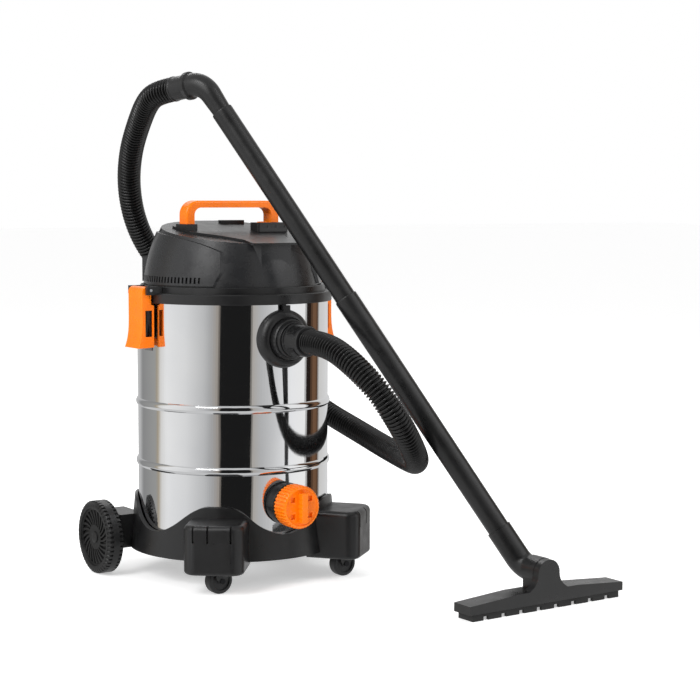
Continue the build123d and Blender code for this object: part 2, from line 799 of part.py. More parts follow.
motor_housing = turned_z(
    [
        (12.2, 523.1),
        (46, 523.1),
        (46, 574),
        (12.2, 574),
        (12.2, 570),
        (43.4, 570),
        (43.4, 527),
        (12.2, 527),
    ]
)
save(motor_housing, "motor_housing")
motor_stator = turned_z([(27, 532), (43.3, 532), (43.3, 564), (27, 564)])
save(motor_stator, "motor_stator")
rotor_core = turned_z([(MOTOR_SHAFT_R, 532), (26, 532), (26, 564), (MOTOR_SHAFT_R, 564)])
save(rotor_core, "rotor_core")
rotor_shaft = turned_z([(0, 494.5), (MOTOR_SHAFT_R, 494.5), (MOTOR_SHAFT_R, 578), (0, 578)])
save(rotor_shaft, "rotor_shaft")
with BuildPart() as bearings:
    add(turned_z([(MOTOR_SHAFT_R + 0.06, 523.2), (12.1, 523.2), (12.1, 529), (MOTOR_SHAFT_R + 0.06, 529)]).part)
    add(turned_z([(MOTOR_SHAFT_R + 0.06, 567), (12.1, 567), (12.1, 573.9), (MOTOR_SHAFT_R + 0.06, 573.9)]).part)
save(bearings, "bearings")

# ---------------------------------------------------------------- filter and float valve under the lid
CAGE_RIBS = 12
with BuildPart() as filter_cage:
    add(turned_z([(54, 478), (76, 478), (76, 486), (54, 486)]).part)
    add(turned_z([(0, 340), (76, 340), (76, 346), (0, 346)]).part)
    with BuildSketch(Plane.XY.offset(345)):
        with PolarLocations(74, CAGE_RIBS):
            Rectangle(4, 8)
    extrude(amount=134)
    with Locations((0, 0, 412)):
        Cylinder(74, 3, mode=Mode.SUBTRACT)
save(filter_cage, "filter_cage")

PLEATS = 48
with BuildPart() as filter_sleeve:
    with BuildSketch(Plane.XY.offset(350)):
        Circle(82)
        with PolarLocations(82, PLEATS):
            Rectangle(5, 4.6)
        Circle(78.4, mode=Mode.SUBTRACT)
    extrude(amount=126)
save(filter_sleeve, "filter_sleeve")

FLOAT_RIBS = 6
with BuildPart() as float_cage:
    add(turned_z([(16, 334), (30, 334), (30, 339.9), (16, 339.9)]).part)
    add(turned_z([(8, 282), (30, 282), (30, 286), (8, 286)]).part)
    with BuildSketch(Plane.XY.offset(285)):
        with PolarLocations(27.5, FLOAT_RIBS):
            Rectangle(4, 4)
    extrude(amount=50)
save(float_cage, "float_cage")

with BuildPart() as float_ball:
    with Locations((0, 0, 305.5)):
        Sphere(18)
save(float_ball, "float_ball")


# ---------------------------------------------------------------- hose
def unit_turn(before, corner, after):
    """Turning angle at a corner of the route, in radians."""
    one = (corner - before).normalized()
    two = (after - corner).normalized()
    return one.get_angle(two) * 0.0174532925


route = [Vector(*point) for point in HOSE_ROUTE]
hose_radii = []
for index in range(1, len(route) - 1):
    shorter = min((route[index] - route[index - 1]).length, (route[index + 1] - route[index]).length)
    turn = unit_turn(route[index - 1], route[index], route[index + 1])
    hose_radii.append(0.45 * shorter / tan(turn / 2))
print("hose radii mm", [round(radius) for radius in hose_radii])

with BuildPart() as hose:
    with BuildLine() as hose_line:
        FilletPolyline(*route, radius=hose_radii)
    with BuildSketch(Plane(origin=route[0], z_dir=route[1] - route[0])):
        Circle(HOSE_R)
        Circle(HOSE_BORE, mode=Mode.SUBTRACT)
    sweep(path=hose_line.wire())
hose_length = hose_line.wire().length
ring_area = 3.14159265 * (HOSE_R**2 - HOSE_BORE**2)
print("hose length mm", round(hose_length), "volume ratio", round(hose.part.volume / (ring_area * hose_length), 4))
save(hose, "hose")

# ---------------------------------------------------------------- wand
GRIP_DIR = (GRIP_TOP - HOSE_END).normalized()
WAND_DIR = (ELBOW - WAND_BEND).normalized()
WAND_LENGTH = (ELBOW - WAND_BEND).length


def turned_along(start, direction, outline):
    """Solid of revolution about a slanted line, from (distance along it, radius) pairs."""
    side = direction.cross(Vector(0, 0, 1)).normalized()
    with BuildPart() as piece:
        with BuildSketch(Plane(origin=start, x_dir=direction, z_dir=side)):
            with BuildLine():
                Polyline(*outline, close=True)
            make_face()
        revolve(axis=Axis(start, direction))
    return piece


hose_wand_cuff = turned_along(
    HOSE_END,
    GRIP_DIR,
    [(0, 12.5), (0, 21), (3, 21), (4, 20), (30, 19.4), (30, 15), (45, 15), (45, 12.5)],
)
save(hose_wand_cuff, "hose_wand_cuff")

with BuildPart() as wand_handle:
    with BuildLine() as grip_line:
        FilletPolyline(GRIP_TOP + GRIP_DIR * 4, WAND_BEND, WAND_BEND + WAND_DIR * JOIN_GRIP, radius=36)
    grip_wire = grip_line.wire()
    with BuildSketch(Plane(origin=grip_wire @ 0, z_dir=grip_wire % 0)):
        Circle(GRIP_R)
    with BuildSketch(Plane(origin=grip_wire @ 1, z_dir=grip_wire % 1)):
        Circle(GRIP_END_R + 0.2)
    sweep(path=grip_wire, multisection=True)
    add(turned_along(GRIP_TOP, GRIP_DIR, [(0.3, 0), (0.3, 22.6), (1, 23.2), (7, 23.2), (9, GRIP_R), (9, 0)]).part)
    add(
        turned_along(
            WAND_BEND,
            WAND_DIR,
            [(JOIN_GRIP - 2, 0), (JOIN_GRIP - 2, GRIP_END_R), (JOIN_GRIP + ENGAGE, GRIP_END_R), (JOIN_GRIP + ENGAGE, 0)],
        ).part
    )
    with BuildSketch(Plane(origin=grip_wire @ 0, z_dir=grip_wire % 0)):
        Circle(12.5)
    sweep(path=grip_wire, mode=Mode.SUBTRACT)
    add(turned_along(GRIP_TOP, GRIP_DIR, [(-1, 0), (-1, 15.06), (15.6, 15.06), (15.6, 0)]).part, mode=Mode.SUBTRACT)
    add(
        turned_along(
            WAND_BEND, WAND_DIR, [(JOIN_GRIP - 1, 0), (JOIN_GRIP - 1, 12.5), (JOIN_GRIP + 40, 12.5), (JOIN_GRIP + 40, 0)]
        ).part,
        mode=Mode.SUBTRACT,
    )
save(wand_handle, "wand_handle")

upper_tube = turned_along(
    WAND_BEND,
    WAND_DIR,
    [
        (JOIN_GRIP, 15.5),
        (JOIN_GRIP, TUBE_R - 0.4),
        (JOIN_GRIP + 2, TUBE_R),
        (JOIN_TUBES - 1, TUBE_R - 0.6),
        (JOIN_TUBES + ENGAGE, TUBE_R - 0.6),
        (JOIN_TUBES + ENGAGE, TUBE_R - 3),
        (JOIN_GRIP + ENGAGE + 1, TUBE_R - 3),
        (JOIN_GRIP + ENGAGE + 1, 15.5),
    ],
)
save(upper_tube, "upper_tube")

lower_tube = turned_along(
    WAND_BEND,
    WAND_DIR,
    [
        (JOIN_TUBES, TUBE_R - 0.5),
        (JOIN_TUBES, LOWER_TUBE_R - 0.4),
        (JOIN_TUBES + 2, LOWER_TUBE_R),
        (JOIN_NECK - 1, TUBE_R + 0.2),
        (JOIN_NECK + ENGAGE, TUBE_R + 0.2),
        (JOIN_NECK + ENGAGE, TUBE_R - 2),
        (JOIN_TUBES + ENGAGE + 1, TUBE_R - 2),
        (JOIN_TUBES + ENGAGE + 1, TUBE_R - 0.5),
    ],
)
save(lower_tube, "lower_tube")

with BuildPart() as nozzle_neck:
    with BuildLine() as neck_line:
        FilletPolyline(WAND_BEND + WAND_DIR * JOIN_NECK, ELBOW, Vector(ELBOW.X, NOZZLE_REAR + 2.2, ELBOW.Z), radius=30)
    neck_wire = neck_line.wire()
    with BuildSketch(Plane(origin=neck_wire @ 0, z_dir=neck_wire % 0)):
        Circle(NECK_R)
    sweep(path=neck_wire)
    with Locations(Plane(origin=(ELBOW.X, NOZZLE_REAR - 8, ELBOW.Z), z_dir=(0, -1, 0))):
        Cylinder(SPIGOT_R, 24)
    with BuildSketch(Plane(origin=neck_wire @ 0, z_dir=neck_wire % 0)):
        Circle(14)
    sweep(path=neck_wire, mode=Mode.SUBTRACT)
    with Locations(Plane(origin=(ELBOW.X, NOZZLE_REAR - 8, ELBOW.Z), z_dir=(0, -1, 0))):
        Cylinder(14, 40, mode=Mode.SUBTRACT)
    add(
        turned_along(
            WAND_BEND,
            WAND_DIR,
            [(JOIN_NECK - 1, 0), (JOIN_NECK - 1, TUBE_R + 0.3), (JOIN_NECK + ENGAGE + 1, TUBE_R + 0.3), (JOIN_NECK + ENGAGE + 1, 0)],
        ).part,
        mode=Mode.SUBTRACT,
    )
save(nozzle_neck, "nozzle_neck")

# ---------------------------------------------------------------- floor nozzle
CENTRE_X = ELBOW.X
ARCH_R = 22.2
BARREL_FRONT = -535.0
BARREL_REAR = -506.0
NOZZLE_PLANE = Plane(origin=(CENTRE_X, NOZZLE_FRONT, 0), x_dir=(1, 0, 0), z_dir=(0, -1, 0))
with BuildPart() as nozzle_body:
    with BuildSketch(NOZZLE_PLANE):
        with BuildLine():
            Polyline(
                (-NOZZLE_HALF, 11), (NOZZLE_HALF, 11), (NOZZLE_HALF, 25), (60, 32), (-60, 32), (-NOZZLE_HALF, 25), close=True
            )
        make_face()
    extrude(amount=NOZZLE_FRONT - NOZZLE_REAR)
    with BuildSketch(NOZZLE_PLANE):
        with BuildLine():
            Line((-50, 28), (50, 28))
            Spline((50, 28), (31, 38), (ARCH_R, ELBOW.Z), tangents=[(-1, 0.3), (0, 1)])
            ThreePointArc((ARCH_R, ELBOW.Z), (0, ELBOW.Z + ARCH_R), (-ARCH_R, ELBOW.Z))
            Spline((-ARCH_R, ELBOW.Z), (-31, 38), (-50, 28), tangents=[(0, -1), (-1, -0.3)])
        make_face()
    extrude(amount=-14)
    with Locations(Plane(origin=(CENTRE_X, (BARREL_FRONT + BARREL_REAR) / 2, ELBOW.Z), z_dir=(0, -1, 0))):
        Cylinder(BARREL_R, BARREL_REAR - BARREL_FRONT)
    with Locations((CENTRE_X, (BARREL_FRONT + NOZZLE_REAR) / 2, 38)):
        Box(41, NOZZLE_REAR - BARREL_FRONT, 22)
    with Locations((CENTRE_X, (NOZZLE_FRONT + NOZZLE_REAR) / 2, 6)):
        Box(2 * NOZZLE_HALF - 8, 30, 30, mode=Mode.SUBTRACT)
    with Locations(Plane(origin=(CENTRE_X, -523, ELBOW.Z), z_dir=(0, -1, 0))):
        Cylinder(SPIGOT_R + 0.06, 40, mode=Mode.SUBTRACT)
    with Locations((CENTRE_X, -536, 32)):
        Box(27, 12, 40, mode=Mode.SUBTRACT)
save(nozzle_body, "nozzle_body")

NOTCHES = 8
NOTCH_STEP = 36.0
with BuildPart() as nozzle_strips:
    with Locations((CENTRE_X, (NOZZLE_FRONT + NOZZLE_REAR) / 2, 5.5)):
        Box(2 * NOZZLE_HALF - 14, 36, 11)
        Box(2 * NOZZLE_HALF - 24, 26, 11, mode=Mode.SUBTRACT)
    with Locations((CENTRE_X, NOZZLE_FRONT + 4, 3)):
        with GridLocations(NOTCH_STEP, 1, NOTCHES, 1):
            Box(9, 8, 6, mode=Mode.SUBTRACT)
save(nozzle_strips, "nozzle_strips")
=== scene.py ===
"""Looks of the wet and dry shop vacuum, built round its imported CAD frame. Metres, +Z up, -Y is the front."""

import json
from math import cos, pi, radians, sin

import bmesh
import bpy
from mathutils import Matrix, Vector


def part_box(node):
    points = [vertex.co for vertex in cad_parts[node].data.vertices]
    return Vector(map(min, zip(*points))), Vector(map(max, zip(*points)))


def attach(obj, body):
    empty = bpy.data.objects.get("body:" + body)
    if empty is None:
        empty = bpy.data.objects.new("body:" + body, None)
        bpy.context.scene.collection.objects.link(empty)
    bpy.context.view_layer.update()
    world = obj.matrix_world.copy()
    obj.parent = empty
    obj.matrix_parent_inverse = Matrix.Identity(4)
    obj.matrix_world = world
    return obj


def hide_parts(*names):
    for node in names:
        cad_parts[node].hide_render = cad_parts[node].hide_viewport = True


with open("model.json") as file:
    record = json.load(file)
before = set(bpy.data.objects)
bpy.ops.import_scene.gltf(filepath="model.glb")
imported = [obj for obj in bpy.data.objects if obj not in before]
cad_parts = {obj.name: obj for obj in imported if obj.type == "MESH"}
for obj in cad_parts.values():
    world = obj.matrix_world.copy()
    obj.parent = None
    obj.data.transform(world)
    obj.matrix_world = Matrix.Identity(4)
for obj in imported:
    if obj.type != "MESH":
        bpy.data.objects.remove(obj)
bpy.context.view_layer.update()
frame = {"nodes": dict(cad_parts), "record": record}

CAMERA_AZIMUTH = radians(30.6835)
CAMERA_DISTANCE = 3.0
CAMERA_HEIGHT = 0.64991
CAMERA_PITCH = 0.0885018
CAMERA_YAW = 0.0679235
CAMERA_ROLL = 0.0025168


# ---------------------------------------------------------------- camera
def make_camera():
    """Long-lens camera in front of the vacuum and to its left."""
    across = -CAMERA_DISTANCE * sin(CAMERA_AZIMUTH)
    back = -CAMERA_DISTANCE * cos(CAMERA_AZIMUTH)
    place = Vector((across, back, CAMERA_HEIGHT))
    heading = CAMERA_AZIMUTH + CAMERA_YAW
    level = cos(CAMERA_PITCH)
    forward = Vector((sin(heading) * level, cos(heading) * level, -sin(CAMERA_PITCH)))
    right = Vector((cos(heading), -sin(heading), 0))
    up = right.cross(forward)
    right_rolled = right * cos(CAMERA_ROLL) + up * sin(CAMERA_ROLL)
    up_rolled = up * cos(CAMERA_ROLL) - right * sin(CAMERA_ROLL)
    data = bpy.data.cameras.new("view")
    data.lens = 88.766
    data.sensor_width = 36
    data.clip_end = 60
    camera = bpy.data.objects.new("view", data)
    bpy.context.scene.collection.objects.link(camera)
    turn = Matrix((right_rolled, up_rolled, -forward)).transposed().to_4x4()
    camera.matrix_world = Matrix.Translation(place) @ turn
    bpy.context.scene.camera = camera


make_camera()


# ---------------------------------------------------------------- materials
def shader(name):
    """New node material and its principled shader."""
    material = bpy.data.materials.new(name)
    material.use_nodes = True
    return material, material.node_tree.nodes["Principled BSDF"]


def add_node(material, kind, **values):
    """Node in a material with its properties or inputs set."""
    node = material.node_tree.nodes.new(kind)
    for key, value in values.items():
        if key in node.inputs:
            node.inputs[key].default_value = value
        else:
            setattr(node, key, value)
    return node


def join(material, source, target):
    """Link an output socket to an input socket."""
    material.node_tree.links.new(source, target)


def noise(material, scale, detail=3, roughness=0.6, stretch=None):
    """Noise over the object's own coordinates."""
    place = add_node(material, "ShaderNodeTexCoord")
    texture = add_node(material, "ShaderNodeTexNoise", Scale=scale, Detail=detail, Roughness=roughness)
    if stretch:
        mapping = add_node(material, "ShaderNodeMapping", Scale=stretch)
        join(material, place.outputs["Object"], mapping.inputs["Vector"])
        join(material, mapping.outputs["Vector"], texture.inputs["Vector"])
    else:
        join(material, place.outputs["Object"], texture.inputs["Vector"])
    return texture


def remap(material, value, low, high, from_low=0.3, from_high=0.7):
    """A value carried from one range to another."""
    node = add_node(material, "ShaderNodeMapRange")
    node.inputs["From Min"].default_value = from_low
    node.inputs["From Max"].default_value = from_high
    node.inputs["To Min"].default_value = low
    node.inputs["To Max"].default_value = high
    join(material, value, node.inputs["Value"])
    return node.outputs["Result"]


def colour_mix(material, factor, first, second):
    """Mix node whose two colours may be tuples or sockets."""
    node = add_node(material, "ShaderNodeMix", data_type="RGBA")
    colours = [socket for socket in node.inputs if socket.type == "RGBA"]
    for socket, value in zip(colours, (first, second)):
        if isinstance(value, tuple):
            socket.default_value = (*value, 1)
        else:
            join(material, value, socket)
    join(material, factor, node.inputs[0])
    return next(socket for socket in node.outputs if socket.type == "RGBA")


def bump(material, bsdf, height, strength, distance):
    """Bump on the shader's normal."""
    node = add_node(material, "ShaderNodeBump", Strength=strength, Distance=distance)
    join(material, height, node.inputs["Height"])
    join(material, node.outputs["Normal"], bsdf.inputs["Normal"])


def moulded_plastic(name, colour, roughness=0.5, grain=0.35, spread=0.18, edge_highlight=0.35):
    """Moulded plastic: fine grain, slow colour and gloss variation, and paler sharp edges that are a painted
    highlight.
    """
    material, bsdf = shader(name)
    slow = noise(material, 9, 4)
    dark = tuple(c * (1 - spread) for c in colour)
    pale = tuple(min(1, c * (1 + spread)) for c in colour)
    tone = colour_mix(material, remap(material, slow.outputs["Fac"], 0, 1), dark, pale)
    # Painted highlight: sharp edges, picked out by Pointiness, are mixed toward a much paler colour.
    edges = add_node(material, "ShaderNodeNewGeometry")
    edge_highlight_mask = remap(material, edges.outputs["Pointiness"], 0, edge_highlight, 0.52, 0.62)
    tone = colour_mix(material, edge_highlight_mask, tone, tuple(min(1, c * 2.2 + 0.03) for c in colour))
    join(material, tone, bsdf.inputs["Base Color"])
    handled = noise(material, 38, 5)
    gloss = remap(material, handled.outputs["Fac"], roughness - 0.07, roughness + 0.08)
    join(material, gloss, bsdf.inputs["Roughness"])
    fine = noise(material, 1500, 2)
    bump(material, bsdf, fine.outputs["Fac"], grain, 0.00012)
    return material


def mirror_steel():
    """Mirror-polished sheet: faint smudges, very fine rolling lines and a slight waviness."""
    material, bsdf = shader("mirror_steel")
    bsdf.inputs["Metallic"].default_value = 1
    tone = noise(material, 5, 3)
    slow = remap(material, tone.outputs["Fac"], 0, 1)
    colour = colour_mix(material, slow, (0.80, 0.81, 0.83), (0.88, 0.885, 0.89))
    join(material, colour, bsdf.inputs["Base Color"])
    smudge = noise(material, 16, 6, 0.65)
    join(material, remap(material, smudge.outputs["Fac"], 0.035, 0.085, 0.4, 0.75), bsdf.inputs["Roughness"])
    rolled = noise(material, 60, 3, 0.5, stretch=(1, 1, 9))
    bump(material, bsdf, rolled.outputs["Fac"], 0.02, 0.0004)
    return material


def plain_steel(name, colour=(0.55, 0.56, 0.58), roughness=0.3):
    """Turned or drawn steel with fine lines."""
    material, bsdf = shader(name)
    bsdf.inputs["Metallic"].default_value = 1
    lines = noise(material, 300, 4, 0.6, stretch=(1, 1, 8))
    tone = remap(material, lines.outputs["Fac"], 0, 1)
    dark = tuple(c * 0.8 for c in colour)
    join(material, colour_mix(material, tone, dark, colour), bsdf.inputs["Base Color"])
    gloss = remap(material, lines.outputs["Fac"], roughness - 0.08, roughness + 0.12)
    join(material, gloss, bsdf.inputs["Roughness"])
    bump(material, bsdf, lines.outputs["Fac"], 0.08, 0.0001)
    return material


def gloss_orange():
    """Glossy moulded orange plastic with a faint orange-peel surface."""
    material, bsdf = shader("gloss_orange")
    slow = noise(material, 14, 3)
    tone = remap(material, slow.outputs["Fac"], 0, 1)
    colour = colour_mix(material, tone, (0.90, 0.165, 0.0005), (0.98, 0.205, 0.001))
    # Painted highlight: sharp edges, picked out by Pointiness, are mixed toward a paler orange.
    edges = add_node(material, "ShaderNodeNewGeometry")
    edge_highlight_mask = remap(material, edges.outputs["Pointiness"], 0, 0.5, 0.53, 0.64)
    colour = colour_mix(material, edge_highlight_mask, colour, (1.0, 0.34, 0.04))
    join(material, colour, bsdf.inputs["Base Color"])
    handled = noise(material, 45, 5)
    join(material, remap(material, handled.outputs["Fac"], 0.2, 0.34), bsdf.inputs["Roughness"])
    peel = noise(material, 420, 2)
    bump(material, bsdf, peel.outputs["Fac"], 0.06, 0.0003)
    bsdf.inputs["Specular IOR Level"].default_value = 0.3
    bsdf.inputs["Coat Weight"].default_value = 0.08
    bsdf.inputs["Coat Roughness"].default_value = 0.12
    return material


def cloth():
    """Pleated filter cloth with a fibrous surface."""
    material, bsdf = shader("filter_cloth")
    fibre = noise(material, 700, 5, 0.7, stretch=(1, 1, 0.3))
    tone = remap(material, fibre.outputs["Fac"], 0, 1)
    colour = colour_mix(material, tone, (0.66, 0.64, 0.58), (0.86, 0.84, 0.79))
    join(material, colour, bsdf.inputs["Base Color"])
    bsdf.inputs["Roughness"].default_value = 0.9
    bump(material, bsdf, fibre.outputs["Fac"], 0.5, 0.0004)
    return material


STEEL = mirror_steel()
PIN_STEEL = plain_steel("pin_steel")
ORANGE = gloss_orange()
GRAPHITE = moulded_plastic("graphite_plastic", (0.0085, 0.0085, 0.009), roughness=0.33)
COVER = moulded_plastic("cover_plastic", (0.017, 0.0173, 0.0185), roughness=0.27)
TUBE = moulded_plastic("tube_plastic", (0.0085, 0.0085, 0.0088), roughness=0.31, grain=0.2, spread=0.25)
HOSE_BLACK = moulded_plastic(
    "hose_plastic", (0.0022, 0.0022, 0.0023), roughness=0.22, grain=0.1, spread=0.3, edge_highlight=0.2
)
WHEEL = moulded_plastic("wheel_plastic", (0.005, 0.005, 0.0053), roughness=0.42, grain=0.4)
TREAD = moulded_plastic("caster_rubber", (0.012, 0.012, 0.013), roughness=0.5)
RUBBER = moulded_plastic("black_rubber", (0.010, 0.010, 0.010), roughness=0.65, grain=0.5)
WHITE = moulded_plastic("white_plastic", (0.72, 0.72, 0.69), roughness=0.45, edge_highlight=0.1)
BLACK_PIN = plain_steel("black_oxide_pin", (0.030, 0.030, 0.032), 0.4)
ALUMINIUM = plain_steel("cast_aluminium", (0.72, 0.73, 0.74), 0.38)
CORE = plain_steel("motor_core", (0.35, 0.20, 0.12), 0.45)
CLOTH = cloth()

BY_SLOT = {
    "stainless": STEEL,
    "graphite": GRAPHITE,
    "cover_grey": COVER,
    "orange": ORANGE,
    "hose_black": HOSE_BLACK,
    "tube_grey": TUBE,
    "wheel_plastic": WHEEL,
    "caster_tread": TREAD,
    "steel": PIN_STEEL,
    "gasket": RUBBER,
    "copper_core": CORE,
    "filter_fabric": CLOTH,
    "white_plastic": WHITE,
    "strip_rubber": RUBBER,
    "aluminium": ALUMINIUM,
}
SLOT_OF = {row["node"]: row["material_slot"] for row in frame["record"]["subparts"]}


# ---------------------------------------------------------------- pieces
def new_piece(name, mesh, material, body, replaced=()):
    """Object of the model: its material, body and the CAD nodes that it stands for."""
    piece = bpy.data.objects.new(name, mesh)
    bpy.context.scene.collection.objects.link(piece)
    mesh.materials.clear()
    mesh.materials.append(material)
    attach(piece, body)
    if replaced:
        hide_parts(*replaced)
    return piece


def apply_modifiers(piece):
    """Make a piece's modifiers permanent."""
    graph = bpy.context.evaluated_depsgraph_get()
    shaped = bpy.data.meshes.new_from_object(piece.evaluated_get(graph))
    piece.modifiers.clear()
    piece.data = shaped


def shade_smooth(mesh):
    """Smooth shading on every face."""
    mesh.polygons.foreach_set("use_smooth", [True] * len(mesh.polygons))


def finished_mesh(name, shape):
    """Mesh of a bmesh shape, with its faces turned outward."""
    bmesh.ops.recalc_face_normals(shape, faces=shape.faces)
    mesh = bpy.data.meshes.new(name)
    shape.to_mesh(mesh)
    shape.free()
    return mesh


def skin_rings(shape, rings):
    """Faces between rings of points one after another, where a ring may be a single point."""
    for one, two in zip(rings, rings[1:]):
        count = max(len(one), len(two))
        for step in range(count):
            after = (step + 1) % count
            if len(one) == 1:
                shape.faces.new((one[0], two[step], two[after]))
            elif len(two) == 1:
                shape.faces.new((one[step], two[0], one[after]))
            else:
                shape.faces.new((one[step], two[step], two[after], one[after]))


def round_edges(piece, width, sharper_than):
    """Small round on the edges of a piece that are sharper than an angle in degrees."""
    shade_smooth(piece.data)
    edge = piece.modifiers.new("edge", "BEVEL")
    edge.width = width
    edge.segments = 2
    edge.limit_method = "ANGLE"
    edge.angle_limit = radians(sharper_than)
    edge.harden_normals = True


# ---------------------------------------------------------------- hose
HOSE_ROUTE = [
    (0, -0.240, 0.415),
    (0, -0.292, 0.415),
    (0.005, -0.350, 0.393),
    (0.026, -0.396, 0.351),
    (0.059, -0.410, 0.298),
    (0.105, -0.386, 0.247),
    (0.160, -0.324, 0.213),
    (0.206, -0.237, 0.203),
    (0.229, -0.137, 0.211),
    (0.233, -0.047, 0.230),
    (0.220, 0.036, 0.256),
    (0.189, 0.113, 0.302),
    (0.139, 0.172, 0.361),
    (0.078, 0.208, 0.427),
    (0.014, 0.222, 0.494),
    (-0.042, 0.220, 0.545),
    (-0.082, 0.205, 0.603),
    (-0.109, 0.178, 0.667),
    (-0.126, 0.136, 0.727),
    (-0.135, 0.085, 0.777),
    (-0.143, 0.037, 0.811),
    (-0.14185, 0.00064, 0.82315),
    (-0.13024, -0.03104, 0.82732),
]
HOSE_R = 0.0205
HOSE_VALLEY = 0.0162
HOSE_PITCH = 0.0062
# Height of one ridge over the groove before it, as shares of the groove's depth.
RIDGE = (0.0, 0.25, 0.72, 0.95, 1.0, 0.95, 0.72, 0.25)


def route_line(route):
    """Points along the smooth spline that has a route's points as its control points."""
    data = bpy.data.curves.new("route", "CURVE")
    data.dimensions = "3D"
    data.resolution_u = 40
    spline = data.splines.new("NURBS")
    spline.points.add(len(route) - 1)
    for point, place in zip(spline.points, route):
        point.co = (*place, 1)
    spline.order_u = 3
    spline.use_endpoint_u = True
    holder = bpy.data.objects.new("route", data)
    bpy.context.scene.collection.objects.link(holder)
    mesh = bpy.data.meshes.new_from_object(holder)
    points = [vertex.co.copy() for vertex in mesh.vertices]
    bpy.data.objects.remove(holder)
    bpy.data.meshes.remove(mesh)
    bpy.data.curves.remove(data)
    return points


def spaced(points, count):
    """The same line as equally spaced points, the direction at each, and its length."""
    lengths = [0.0]
    for a, b in zip(points, points[1:]):
        lengths.append(lengths[-1] + (b - a).length)
    total = lengths[-1]
    even = []
    at = 0
    for step in range(count + 1):
        goal = total * step / count
        while at < len(points) - 2 and lengths[at + 1] < goal:
            at += 1
        span = lengths[at + 1] - lengths[at]
        even.append(points[at].lerp(points[at + 1], (goal - lengths[at]) / span if span else 0))
    directions = []
    for index in range(count + 1):
        before = even[max(0, index - 1)]
        after = even[min(count, index + 1)]
        directions.append((after - before).normalized())
    return even, directions, total


def swept_mesh(name, centres, directions, radii, sides):
    """Round tube along a line, with its own radius at each point and capped ends."""
    shape = bmesh.new()
    across = directions[0].orthogonal().normalized()
    rings = []
    for centre, direction, radius in zip(centres, directions, radii):
        across = (across - direction * across.dot(direction)).normalized()
        other = direction.cross(across)
        ring = []
        for side in range(sides):
            angle = 2 * pi * side / sides
            ring.append(shape.verts.new(centre + (across * cos(angle) + other * sin(angle)) * radius))
        rings.append(ring)
    for one, two in zip(rings, rings[1:]):
        for side in range(sides):
            after = (side + 1) % sides
            shape.faces.new((one[side], one[after], two[after], two[side]))
    shape.faces.new(list(reversed(rings[0])))
    shape.faces.new(rings[-1])
    mesh = finished_mesh(name, shape)
    shade_smooth(mesh)
    return mesh


def make_hose():
    """Corrugated hose: rounded crests with narrow grooves between them, all along its line."""
    line = route_line(HOSE_ROUTE)
    _, _, total = spaced(line, 10)
    ridges = round(total / HOSE_PITCH)
    centres, directions, total = spaced(line, ridges * len(RIDGE))
    radii = []
    for index in range(len(centres)):
        radii.append(HOSE_VALLEY + (HOSE_R - HOSE_VALLEY) * RIDGE[index % len(RIDGE)])
    mesh = swept_mesh("hose", centres, directions, radii, 40)
    piece = new_piece("corrugated_hose", mesh, HOSE_BLACK, "tank", ["hose"])


make_hose()

# ---------------------------------------------------------------- rear wheels
WHEEL_SLOTS = 24
WHEEL_STEPS = 12
SLOT_DEPTH = 0.0034
SLOT_MIDDLE = 0.034
SLOT_SLANT = radians(9) / 0.0125
TREAD_NOTCH = 0.0026


def wheel_profile():
    """Section from the middle of the outer face round to the inner face: side, radius, pattern."""
    rows = [(0.0136, 0.0, ""), (0.0136, 0.0085, ""), (0.0128, 0.0100, ""), (0.0112, 0.0104, "")]
    rows += [(0.0112, 0.0200, ""), (0.0112, 0.0212, "")]
    rows += [(0.0112, 0.0216 + 0.0248 * step / 8, "slot") for step in range(9)]
    rows += [(0.0112, 0.0470, ""), (0.0116, 0.0490, ""), (0.0146, 0.0500, ""), (0.0150, 0.0508, "")]
    rows += [(0.0150, 0.0560, ""), (0.0146, 0.0572, "edge"), (0.0134, 0.0600, "edge")]
    rows += [(0.0122, 0.0622, "edge"), (0.0112, 0.0630, "edge"), (0.0060, 0.0630, "edge")]
    rows += [(0.0055, 0.0630, ""), (-0.0055, 0.0630, "")]
    rows += [(-0.0060, 0.0630, "edge"), (-0.0112, 0.0630, "edge"), (-0.0122, 0.0622, "edge")]
    rows += [(-0.0140, 0.0590, "edge"), (-0.0148, 0.0572, ""), (-0.0150, 0.0560, ""), (-0.0150, 0.0500, "")]
    rows += [(-0.0110, 0.0490, ""), (-0.0110, 0.0240, ""), (-0.0148, 0.0230, ""), (-0.0148, 0.0, "")]
    return rows


def make_wheel(name, node, body, outward):
    """Rear wheel: ring of slanted slots round a hub, a raised rim and a tread with notched edges."""
    low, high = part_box(node)
    centre = (Vector(low) + Vector(high)) / 2
    shape = bmesh.new()
    count = WHEEL_SLOTS * WHEEL_STEPS
    rings = []
    for along, radius, pattern in wheel_profile():
        if radius == 0:
            rings.append([shape.verts.new(centre + Vector((outward * along, 0, 0)))])
            continue
        ring = []
        for step in range(count):
            phase = step % WHEEL_STEPS
            side, out = along, radius
            if pattern == "slot" and 3 <= phase <= 8:
                side = along - SLOT_DEPTH
            if pattern == "edge" and phase in (0, 1, 6, 7):
                out = radius - TREAD_NOTCH
            swirl = 0.0
            if pattern == "slot":
                swirl = SLOT_SLANT * (radius - SLOT_MIDDLE)
            angle = 2 * pi * step / count + swirl
            spot = Vector((outward * side, out * sin(angle), out * cos(angle)))
            ring.append(shape.verts.new(centre + spot))
        rings.append(ring)
    skin_rings(shape, rings)
    mesh = finished_mesh(name, shape)
    shade_smooth(mesh)
    mesh.set_sharp_from_angle(angle=radians(34))
    new_piece(name, mesh, WHEEL, body, [node])


make_wheel("wheel_left", "rear_wheel_left", "left_rear_wheel", -1)
make_wheel("wheel_right", "rear_wheel_right", "right_rear_wheel", 1)

